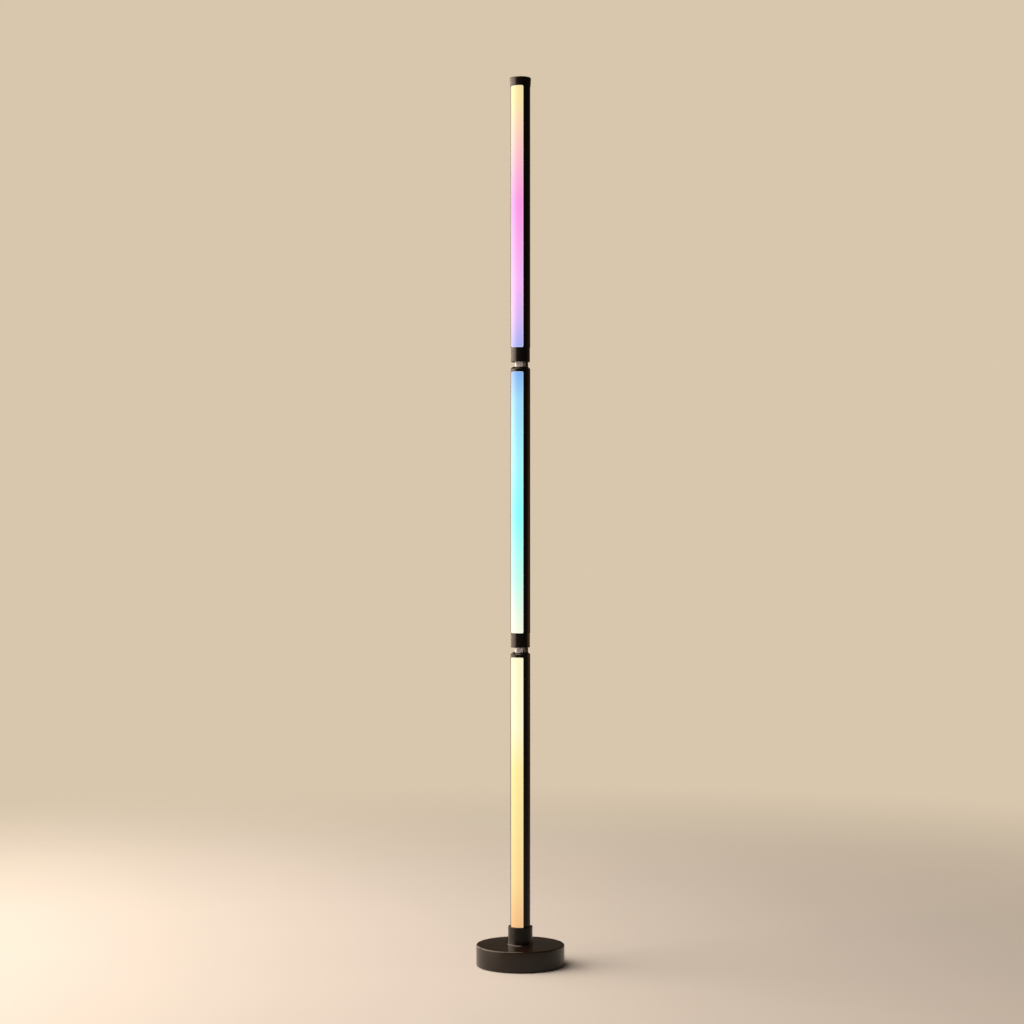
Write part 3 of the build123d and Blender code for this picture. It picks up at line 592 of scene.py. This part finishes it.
# Collar: a black moulded socket with a flared foot, clamped to the cover. The lower tube stands in it,
# on a plug that takes the bolt.
collar_foot, collar_top = (v.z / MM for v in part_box("base_collar"))
collar_r, flare, socket_r, floor_t = 18.5, 1.0, 15.1, 5.5
flare_round, mouth_round, corner_round = 1.2, 0.8, 0.3
base_collar = turned(
    "base_socket_collar",
    [
        (bolt_r, collar_foot, 0.0),
        (collar_r + flare, collar_foot, 0.0),
        (collar_r, collar_foot + flare, flare_round),
        (collar_r, collar_top, mouth_round),
        (socket_r, collar_top, mouth_round),
        (socket_r, collar_foot + floor_t, corner_round),
        (bolt_r, collar_foot + floor_t, 0.0),
    ],
)
base_collar.data.materials.append(abs_smooth)
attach(base_collar, "base")
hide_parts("base_collar")
dress(abs_smooth, "lower_plug")


# Channels: aluminium extruded as a round C, cut to length and anodised black. Each holds its LED board on an
# inner deck and its diffuser between its lips.

# Black anodised aluminium: dark, with the metal's gloss under a thin oxide. The die leaves fine lines
# along the length, drawn 0.5 mm apart so that they show.
anodised, tree, shader, place = start_finish("black_anodised_aluminium", Metallic=1.0)
along_the_pole = (1.0, 1.0, 0.004)
drawn = add(tree, "ShaderNodeMapping", {"Vector": place, "Scale": along_the_pole})
lines = add(tree, "ShaderNodeTexNoise", {"Vector": drawn, "Scale": 1 / (0.5 * MM), "Detail": 3.0})
sheen, ridges = (lines, 0.32, 0.42), (lines, 0.2, 0.01 * MM)
vary(tree, shader, (lines, "#2c2827", "#363230"), sheen, ridges, span=(0.3, 0.7))
dress(anodised, *(f"{section}_channel" for section in section_body))


# LED boards and LEDs: a narrow white board on each deck with a row of square white packages, each with a
# round yellow phosphor window. A flat red ribbon behind the deck carries the current on.
def led_tree():
    """Geometry Nodes that put an LED on each vertex of the piece, facing the front."""
    sizes = ("Package Width", "Package Depth", "Window Radius")
    tree, given = start_tree("led_row", sizes, ("Package Finish", "Window Finish"))
    window_sides = 24
    size = add(
        tree,
        "ShaderNodeCombineXYZ",
        {"X": given["Package Width"], "Y": given["Package Depth"], "Z": given["Package Width"]},
    )
    block = add(tree, "GeometryNodeMeshCube", {"Size": size})
    disc = add(
        tree,
        "GeometryNodeMeshCylinder",
        {"Vertices": window_sides, "Radius": given["Window Radius"], "Depth": given["Package Depth"]},
    )

    def disc_ahead(share, scale):
        """The disc turned to face the front, scaled, and moved forward by a share of the package's depth."""
        step = add(tree, "ShaderNodeMath", {0: given["Package Depth"], 1: -share}, operation="MULTIPLY")
        shift = add(tree, "ShaderNodeCombineXYZ", {"Y": step})
        facing_front = (math.pi / 2, 0.0, 0.0)
        feeds = {"Geometry": disc, "Translation": shift, "Rotation": facing_front, "Scale": scale}
        return add(tree, "GeometryNodeTransform", feeds)

    # the recess is half as deep as the package, and the phosphor fills it to just below the face
    recess = disc_ahead(share=0.5, scale=(1.0, 1.0, 1.0))
    feeds = {"Mesh 1": block, "Mesh 2": recess}
    package = add(tree, "GeometryNodeMeshBoolean", feeds, operation="DIFFERENCE")
    phosphor = disc_ahead(share=0.2, scale=(0.97, 0.97, 0.44))
    row = add(tree, "GeometryNodeJoinGeometry")
    for shape, finish in ((package, "Package Finish"), (phosphor, "Window Finish")):
        placed = add(tree, "GeometryNodeInstanceOnPoints", {"Points": given["Geometry"], "Instance": shape})
        dressed = finished(tree, placed, given[finish])
        tree.links.new(dressed.outputs["Geometry"], row.inputs["Geometry"])
    add(tree, "NodeGroupOutput", {"Geometry": row})
    return tree


# White solder resist: a hard, even off-white varnish, slightly glossy.
white_resist, tree, shader, place = start_finish("white_solder_resist", Roughness=0.38, IOR=1.55)
weave = add(tree, "ShaderNodeTexNoise", {"Vector": place, "Scale": 1 / (3.0 * MM), "Detail": 4.0})
vary(tree, shader, (weave, "#e2e0da", "#f1efe9"))

# Silicone with yellow phosphor powder, cast into the package: soft gloss, slightly uneven yellow.
phosphor_gel, tree, shader, place = start_finish("phosphor_silicone", Roughness=0.25, IOR=1.41)
powder = add(tree, "ShaderNodeTexNoise", {"Vector": place, "Scale": 1 / (0.8 * MM), "Detail": 2.0})
vary(tree, shader, (powder, "#d9b53c", "#efd365"))

# Tinned copper strips, 2 mm apart, between two red films: brighter seams along a flat red lead.
# The wave's bands lie a tenth of pi apart at a scale of 1.
ribbon_film, tree, shader, place = start_finish("red_ribbon_film", Roughness=0.4, IOR=1.5)
cores = add(
    tree,
    "ShaderNodeTexWave",
    {"Vector": place, "Scale": math.pi / 10 / (2.0 * MM), "Distortion": 0.0},
    bands_direction="X",
)
vary(tree, shader, (cores.outputs["Fac"], "#7a1712", "#b3261c"))

led_row = led_tree()
led_size, led_pitch, window_r = 5.0 * MM, 16.6 * MM, 1.9 * MM
for section, body in section_body.items():
    low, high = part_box(f"{section}_leds")
    first, last = low.z + led_size / 2, high.z - led_size / 2
    count = round((last - first) / led_pitch) + 1
    leds = grown(
        f"{section}_led_row",
        led_row,
        [(0.0, (low.y + high.y) / 2, first + (last - first) * i / (count - 1)) for i in range(count)],
        **{
            "Package Width": led_size,
            "Package Depth": high.y - low.y,
            "Window Radius": window_r,
            "Package Finish": white_resist,
            "Window Finish": phosphor_gel,
        },
    )
    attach(leds, body)
    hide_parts(f"{section}_leds")
    dress(white_resist, f"{section}_led_board")
    dress(ribbon_film, f"{section}_ribbon")


# Diffusers: opal polycarbonate covers extruded as a quarter of a round, corners rounded, snapped between the
# channel's lips by two legs. The LEDs behind light each one with its own run of colours.
def diffuser_tree():
    """Geometry Nodes for one cover: a skin with rounded corners and edges, and the two legs that hold it."""
    skin_sizes = ("Skin Radius", "Skin Half Angle", "Skin Thickness", "Corner Radius", "Edge Radius")
    leg_sizes = ("Leg Radius", "Leg Middle Angle", "Leg Half Angle", "Leg Thickness", "Leg Setback")
    tree, given = start_tree("opal_cover", ("Foot", "Length", *skin_sizes, *leg_sizes), ["Finish"])

    def bent_bar(columns, rows, **sizes):
        """A bar along the cover, set back from its ends and bent round the pole, with rounded corners."""
        # it starts as a block that reaches from -1 to 1 each way
        bar = add(
            tree,
            "GeometryNodeMeshCube",
            {"Size": (2.0, 2.0, 2.0), "Vertices X": columns, "Vertices Y": rows, "Vertices Z": 2},
        )
        here = add(tree, "GeometryNodeInputPosition")
        spot = add(tree, "ShaderNodeSeparateXYZ", {"Vector": here}).outputs
        known = {"x": spot["X"], "y": spot["Y"], "z": spot["Z"]}
        known.update(sizes, foot=given["Foot"], length=given["Length"])
        # each row names the result of an operation on one or two earlier results, sizes or plain numbers
        for name, operation, first, second in (
            # columns and rows crowd towards the rim, where the rounds are
            ("quarter_across", "MULTIPLY", "x", math.pi / 2),
            ("share_across", "SINE", "quarter_across", 0.0),
            ("quarter_along", "MULTIPLY", "y", math.pi / 2),
            ("share_along", "SINE", "quarter_along", 0.0),
            # the bar laid flat
            ("half_cover", "MULTIPLY", "length", 0.5),
            ("half_length", "SUBTRACT", "half_cover", "setback"),
            ("half_width", "MULTIPLY", "half_angle", "radius"),
            ("along", "MULTIPLY", "share_along", "half_length"),
            # how far into an end's round, and how far its corners draw in there
            ("along_size", "ABSOLUTE", "along", 0.0),
            ("to_end", "SUBTRACT", "half_length", "along_size"),
            ("end_short", "SUBTRACT", "corner", "to_end"),
            ("end_round", "MAXIMUM", "end_short", 0.0),
            ("end_square", "MULTIPLY", "end_round", "end_round"),
            ("corner_square", "MULTIPLY", "corner", "corner"),
            ("chord_square", "SUBTRACT", "corner_square", "end_square"),
            ("chord_square_left", "MAXIMUM", "chord_square", 0.0),
            ("chord", "SQRT", "chord_square_left", 0.0),
            ("draw_in", "SUBTRACT", "corner", "chord"),
            ("half_width_here", "SUBTRACT", "half_width", "draw_in"),
            ("across", "MULTIPLY", "share_across", "half_width_here"),
            # how far from the rim, and how far the rounded edge drops there
            ("across_size", "ABSOLUTE", "across", 0.0),
            ("to_side", "SUBTRACT", "half_width", "across_size"),
            ("side_short", "SUBTRACT", "corner", "to_side"),
            ("side_round", "MAXIMUM", "side_short", 0.0),
            ("side_square", "MULTIPLY", "side_round", "side_round"),
            ("both_squares", "ADD", "end_square", "side_square"),
            ("from_corner", "SQRT", "both_squares", 0.0),
            ("from_rim", "SUBTRACT", "corner", "from_corner"),
            ("edge_short", "SUBTRACT", "edge", "from_rim"),
            ("edge_round", "MAXIMUM", "edge_short", 0.0),
            ("edge_round_square", "MULTIPLY", "edge_round", "edge_round"),
            ("edge_square", "MULTIPLY", "edge", "edge"),
            ("rise_square", "SUBTRACT", "edge_square", "edge_round_square"),
            ("rise_square_left", "MAXIMUM", "rise_square", 0.0),
            ("rise", "SQRT", "rise_square_left", 0.0),
            ("drop", "SUBTRACT", "edge", "rise"),
            # the front face drops at its rim, the back face lies a wall behind it
            ("behind", "LESS_THAN", "z", 0.0),
            ("in_front", "SUBTRACT", 1.0, "behind"),
            ("wall", "MULTIPLY", "behind", "thickness"),
            ("rim", "MULTIPLY", "in_front", "drop"),
            ("sunk", "ADD", "wall", "rim"),
            ("out", "SUBTRACT", "radius", "sunk"),
            # bent round the pole
            ("turn", "DIVIDE", "across", "radius"),
            ("angle", "ADD", "middle", "turn"),
            ("sine", "SINE", "angle", 0.0),
            ("cosine", "COSINE", "angle", 0.0),
            ("right", "MULTIPLY", "out", "sine"),
            ("forward", "MULTIPLY", "out", "cosine"),
            ("back", "MULTIPLY", "forward", -1.0),
            ("middle_height", "ADD", "foot", "half_cover"),
            ("height", "ADD", "middle_height", "along"),
        ):
            feeds = {0: known.get(first, first), 1: known.get(second, second)}
            known[name] = add(tree, "ShaderNodeMath", feeds, operation=operation)
        there = {"X": known["right"], "Y": known["back"], "Z": known["height"]}
        point = add(tree, "ShaderNodeCombineXYZ", there)
        bent = add(tree, "GeometryNodeSetPosition", {"Geometry": bar, "Position": point})
        return bent.outputs["Geometry"]

    whole = add(tree, "GeometryNodeMeshBoolean", operation="UNION")
    skin = bent_bar(
        columns=41,
        rows=161,
        radius=given["Skin Radius"],
        middle=0.0,
        half_angle=given["Skin Half Angle"],
        thickness=given["Skin Thickness"],
        setback=0.0,
        corner=given["Corner Radius"],
        edge=given["Edge Radius"],
    )
    tree.links.new(skin, whole.inputs["Mesh 2"])
    for side in (-1.0, 1.0):
        aside = add(tree, "ShaderNodeMath", {0: given["Leg Middle Angle"], 1: side}, operation="MULTIPLY")
        leg = bent_bar(
            columns=9,
            rows=2,
            radius=given["Leg Radius"],
            middle=aside,
            half_angle=given["Leg Half Angle"],
            thickness=given["Leg Thickness"],
            setback=given["Leg Setback"],
            corner=0.0,
            edge=0.0,
        )
        tree.links.new(leg, whole.inputs["Mesh 2"])
    add(tree, "NodeGroupOutput", {"Geometry": finished(tree, whole, given["Finish"])})
    return tree


tube_r, skin_half_angle, skin_t, corner_r, edge_r = 15.0 * MM, 0.775, 1.8 * MM, 2.0 * MM, 0.5 * MM
leg_r, leg_middle_angle, leg_half_angle = 13.3 * MM, math.radians(46.4), math.radians(9.4)
leg_t, leg_setback = 1.2 * MM, 4.0 * MM
pale_edge, edge_paleness, dimming = 1.5 * MM, 0.35, 0.94
straw, peach, pink = "#f2dea2", "#f3bec2", "#f594df"
orchid, lilac, periwinkle = "#efb2f0", "#ceb3f0", "#a3adef"
cornflower, sky, ice, aqua, mint, ivory = "#7daeea", "#98d2f5", "#9ff0f7", "#88f7f5", "#bdf7e8", "#f0f3dd"
cream, butter, honey, apricot = "#f6f1c8", "#f6e69b", "#f3d291", "#e9b07d"
# colours from the top of each section to its foot, with how far down each one lies
light_runs = {
    "upper": ((0.05, straw), (0.25, peach), (0.45, pink), (0.75, orchid), (0.9, lilac), (1.0, periwinkle)),
    "middle": ((0.0, cornflower), (0.1, sky), (0.35, ice), (0.55, aqua), (0.8, mint), (1.0, ivory)),
    "lower": ((0.0, cream), (0.25, cream), (0.4, butter), (0.8, honey), (1.0, apricot)),
}
cover_tree = diffuser_tree()
for section, body in section_body.items():
    low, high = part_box(f"{section}_diffuser")
    # Opal polycarbonate, extruded and lit from behind: smooth and satin, with an even glow. The light gathers
    # in its edges, so the last 1.5 mm all round is paler.
    opal, tree, shader, place = start_finish(
        f"lit_opal_polycarbonate_{section}",
        IOR=1.58,
        Roughness=0.42,
        Specular_IOR_Level=0.3,
        Emission_Strength=1.0,
    )
    where = add(tree, "ShaderNodeSeparateXYZ", {"Vector": place}).outputs
    down = add(tree, "ShaderNodeMapRange", {"Value": where["Z"], "From Min": high.z, "From Max": low.z})
    run = add(tree, "ShaderNodeValToRGB", {"Fac": down})
    stops = light_runs[section]
    while len(run.color_ramp.elements) < len(stops):
        run.color_ramp.elements.new(1.0)
    for stop, (share, shade) in zip(run.color_ramp.elements, stops):
        stop.position = share
        stop.color = linear(shade)
    front = add(tree, "ShaderNodeMath", {0: where["Y"], 1: -1.0}, operation="MULTIPLY")
    angle = add(tree, "ShaderNodeMath", {0: where["X"], 1: front}, operation="ARCTAN2")
    aside = add(tree, "ShaderNodeMath", {0: angle}, operation="ABSOLUTE")
    side_ends = {"From Min": skin_half_angle - pale_edge / tube_r, "From Max": skin_half_angle}
    side = add(tree, "ShaderNodeMapRange", {"Value": aside, **side_ends})
    middle_z, half_length = (low.z + high.z) / 2, (high.z - low.z) / 2
    centred = add(tree, "ShaderNodeMath", {0: where["Z"], 1: middle_z}, operation="SUBTRACT")
    off_middle = add(tree, "ShaderNodeMath", {0: centred}, operation="ABSOLUTE")
    tip_ends = {"From Min": half_length - pale_edge, "From Max": half_length}
    tip = add(tree, "ShaderNodeMapRange", {"Value": off_middle, **tip_ends})
    rim = add(tree, "ShaderNodeMath", {0: side, 1: tip}, operation="MAXIMUM")
    paler = add(tree, "ShaderNodeMath", {0: rim, 1: edge_paleness}, operation="MULTIPLY")
    feeds = {"Factor": paler, "A": run, "B": linear("#ffffff")}
    glow = add(tree, "ShaderNodeMix", feeds, data_type="RGBA")
    tree.links.new(glow.outputs["Result"], shader.inputs["Emission Color"])
    # the light from inside far outshines what the sheet reflects, so its own colour is dimmed
    feeds = {"Factor": dimming, "A": run, "B": linear("#000000")}
    unlit = add(tree, "ShaderNodeMix", feeds, data_type="RGBA")
    tree.links.new(unlit.outputs["Result"], shader.inputs["Base Color"])
    cover = grown(
        f"{section}_opal_cover",
        cover_tree,
        [(0.0, 0.0, 0.0)],
        **{
            "Foot": low.z,
            "Length": high.z - low.z,
            "Skin Radius": tube_r,
            "Skin Half Angle": skin_half_angle,
            "Skin Thickness": skin_t,
            "Corner Radius": corner_r,
            "Edge Radius": edge_r,
            "Leg Radius": leg_r,
            "Leg Middle Angle": leg_middle_angle,
            "Leg Half Angle": leg_half_angle,
            "Leg Thickness": leg_t,
            "Leg Setback": leg_setback,
            "Finish": opal,
        },
    )
    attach(cover, body)
    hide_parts(f"{section}_diffuser")


# Swivel joints: a moulded cap on the tube below, a turned steel neck, a C-shaped collar that limits the turn,
# and a moulded sleeve on the tube above, with a bush, a friction ring and a contact pair inside.
# The cap on the top of the lamp is moulded like the sleeves.
moulded = ["top_cap", "middle_sleeve", "upper_sleeve"]
for joint in ("lower", "middle"):
    moulded += [f"{joint}_joint_cap", f"{joint}_stop_collar"]
dress(abs_smooth, *moulded)

# Steel, bead blasted and nickel plated: a pale even grey, nearly matt. The beads leave small round pits,
# drawn 0.5 mm across so that they show.
steel, tree, shader, place = start_finish("blasted_nickel_plated_steel", Metallic=1.0)
pits = add(tree, "ShaderNodeTexVoronoi", {"Vector": place, "Scale": 1 / (0.5 * MM)})
vary(tree, shader, (pits, "#d4d7da", "#e8ebee"), gloss=(pits, 0.82, 0.95), relief=(pits, 0.3, 0.03 * MM))

# Spanner flats: a pair is milled on each neck where the gap shows it, so that the neck can be held while the
# joint is put together. One looks to the front, and the collar covers the other.
flat_turn, across_flats, shoulder, mill = math.radians(18), 13.0 * MM, 0.4 * MM, 10.0 * MM
flat_crease = math.radians(25)
for joint, above in (("lower", "middle"), ("middle", "upper")):
    gap_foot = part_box(f"{joint}_joint_cap")[1].z + shoulder
    gap_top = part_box(f"{above}_sleeve")[0].z - shoulder
    solid = frame["nodes"][f"{joint}_neck"].data
    neck_mesh = bpy.data.meshes.new(f"{joint}_flatted_neck")
    neck_mesh.from_pydata([v.co for v in solid.vertices], [], [f.vertices[:] for f in solid.polygons])
    neck_mesh.materials.append(steel)
    smooth(neck_mesh)
    neck = put(f"{joint}_flatted_neck", neck_mesh)
    cutters = []
    for side in (-1, 1):
        turn = Matrix.Rotation(flat_turn, 4, "Z")
        shift = Matrix.Translation((0.0, side * (across_flats + mill) / 2, (gap_foot + gap_top) / 2))
        size = Matrix.Diagonal((2 * mill, mill, gap_top - gap_foot, 1.0))
        work = bmesh.new()
        bmesh.ops.create_cube(work, size=1.0, matrix=turn @ shift @ size)
        cutters.append(put("flat_cutter", mesh_from("flat_cutter", work)))
    pierced(neck, cutters, flat_crease)
    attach(neck, section_body[joint])
    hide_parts(f"{joint}_neck")

# Natural acetal: a slippery off-white bearing plastic, faintly waxy.
acetal, tree, shader, place = start_finish("natural_acetal", Roughness=0.4, IOR=1.48)
wax = add(tree, "ShaderNodeTexNoise", {"Vector": place, "Scale": 1 / (4.0 * MM), "Detail": 2.0})
vary(tree, shader, (wax, "#dcdbd5", "#ecebe6"))
dress(acetal, "middle_bush", "upper_bush")

# Nitrile rubber: matt black, faintly dusty.
rubber, tree, shader, place = start_finish("moulded_nitrile_rubber", Roughness=0.75, IOR=1.52)
dust = add(tree, "ShaderNodeTexNoise", {"Vector": place, "Scale": 1 / (1.0 * MM), "Detail": 3.0})
vary(tree, shader, (dust, "#121212", "#1f1f1e"))
dress(rubber, "lower_friction_ring", "middle_friction_ring")

# Brass contacts with a gold flash: a warm yellow metal with faint turning marks, 0.4 mm apart.
contact, tree, shader, place = start_finish("plated_brass", Metallic=1.0)
round_the_axis = (0.05, 0.05, 1.0)
spun = add(tree, "ShaderNodeMapping", {"Vector": place, "Scale": round_the_axis})
marks = add(tree, "ShaderNodeTexNoise", {"Vector": spun, "Scale": 1 / (0.4 * MM), "Detail": 2.0})
vary(tree, shader, (marks, "#c39a48", "#dcb866"), gloss=(marks, 0.2, 0.35))
dress(contact, "lower_contact_plug", "middle_contact_plug", "middle_contact_socket", "upper_contact_socket")


# Floor: a plain pale floor in matt paint, rolled on, with the faint blotches that a roller leaves.
# It fades out into the backdrop away from the lamp.
floor_r, fade_from, fade_to = 4.0, 0.5, 2.4
floor_finish, tree, shader, place = start_finish("pale_matt_paint", Roughness=0.7, IOR=1.45)
blotch = add(tree, "ShaderNodeTexNoise", {"Vector": place, "Scale": 1 / (400 * MM), "Detail": 4.0})
vary(tree, shader, (blotch, "#a9adaf", "#afb3b5"))
away = add(tree, "ShaderNodeVectorMath", {0: place}, operation="LENGTH")
fade = add(
    tree,
    "ShaderNodeMapRange",
    {"Value": away.outputs["Value"], "From Min": fade_from, "From Max": fade_to},
    interpolation_type="SMOOTHSTEP",
)
nothing = add(tree, "ShaderNodeBsdfTransparent")
faded = add(tree, "ShaderNodeMixShader", {"Fac": fade, 1: shader, 2: nothing})
surface = next(n for n in tree.nodes if n.type == "OUTPUT_MATERIAL")
tree.links.new(faded.outputs["Shader"], surface.inputs["Surface"])
work = bmesh.new()
bmesh.ops.create_circle(work, cap_ends=True, segments=128, radius=floor_r)
floor = put("floor", mesh_from("floor", work))
floor.data.materials.append(floor_finish)
floor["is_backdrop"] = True


# Light: a warm backdrop, pale where it is looked at and dim in its light. A large soft light on the left of
# the view and one above it do most, and two weak fills show the right side and the back.
scene = bpy.context.scene
world = bpy.data.worlds.new("warm_backdrop")
scene.world = world
world.use_nodes = True
tree = world.node_tree
tree.nodes.clear()
seen = add(tree, "ShaderNodeLightPath")
dim = add(tree, "ShaderNodeBackground", {"Color": linear("#d9c8b0"), "Strength": 0.12})
pale = add(tree, "ShaderNodeBackground", {"Color": linear("#d8c6ad"), "Strength": 1.0})
backdrop = add(tree, "ShaderNodeMixShader", {"Fac": seen.outputs["Is Camera Ray"], 1: dim, 2: pale})
add(tree, "ShaderNodeOutputWorld", {"Surface": backdrop})

view_azimuth = math.radians(27)
towards_viewer = Vector((math.sin(view_azimuth), -math.cos(view_azimuth), 0.0))
to_the_right = Vector((math.cos(view_azimuth), math.sin(view_azimuth), 0.0))
aim = Vector((0.0, 0.0, 0.6))


def soft_light(name, right, nearer, up, size, power, colour):
    """A rectangular light of a given width and height, placed as the viewer sees it and aimed at the pole."""
    source = bpy.data.lights.new(name, "AREA")
    source.shape = "RECTANGLE"
    source.size, source.size_y = size
    source.energy = power
    source.color = linear(colour)[:3]
    holder = put(name, source)
    holder.location = right * to_the_right + nearer * towards_viewer + Vector((0.0, 0.0, up))
    holder.rotation_euler = (aim - holder.location).to_track_quat("-Z", "Y").to_euler()


warm_white, amber = "#ffe4cd", "#ffc080"
soft_light("left_light", right=-2.4, nearer=0.0, up=1.4, size=(3.0, 2.6), power=175.0, colour=warm_white)
soft_light("top_light", right=-1.0, nearer=0.4, up=3.0, size=(2.0, 2.0), power=101.0, colour=warm_white)
soft_light("right_fill", right=2.6, nearer=-1.0, up=0.5, size=(1.2, 0.9), power=4.0, colour=amber)
soft_light("rear_fill", right=-1.6, nearer=-2.0, up=1.0, size=(1.4, 1.8), power=25.0, colour=warm_white)


# Camera: it stands level, a little over mid-height of the lamp and three and a half metres off, turned 27
# degrees round from the lit side.
distance, height, aside = 3.494, 0.6879, 0.0127
focal_length, sensor_width = 80.9, 36.0
optics = bpy.data.cameras.new("photo_view")
optics.lens = focal_length
optics.sensor_width = sensor_width
camera = put("photo_view", optics)
camera.location = distance * towards_viewer - aside * to_the_right + Vector((0, 0, height))
camera.rotation_euler = (-towards_viewer).to_track_quat("-Z", "Y").to_euler()
scene.camera = camera
scene.view_settings.view_transform = "Standard"

low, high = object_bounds()
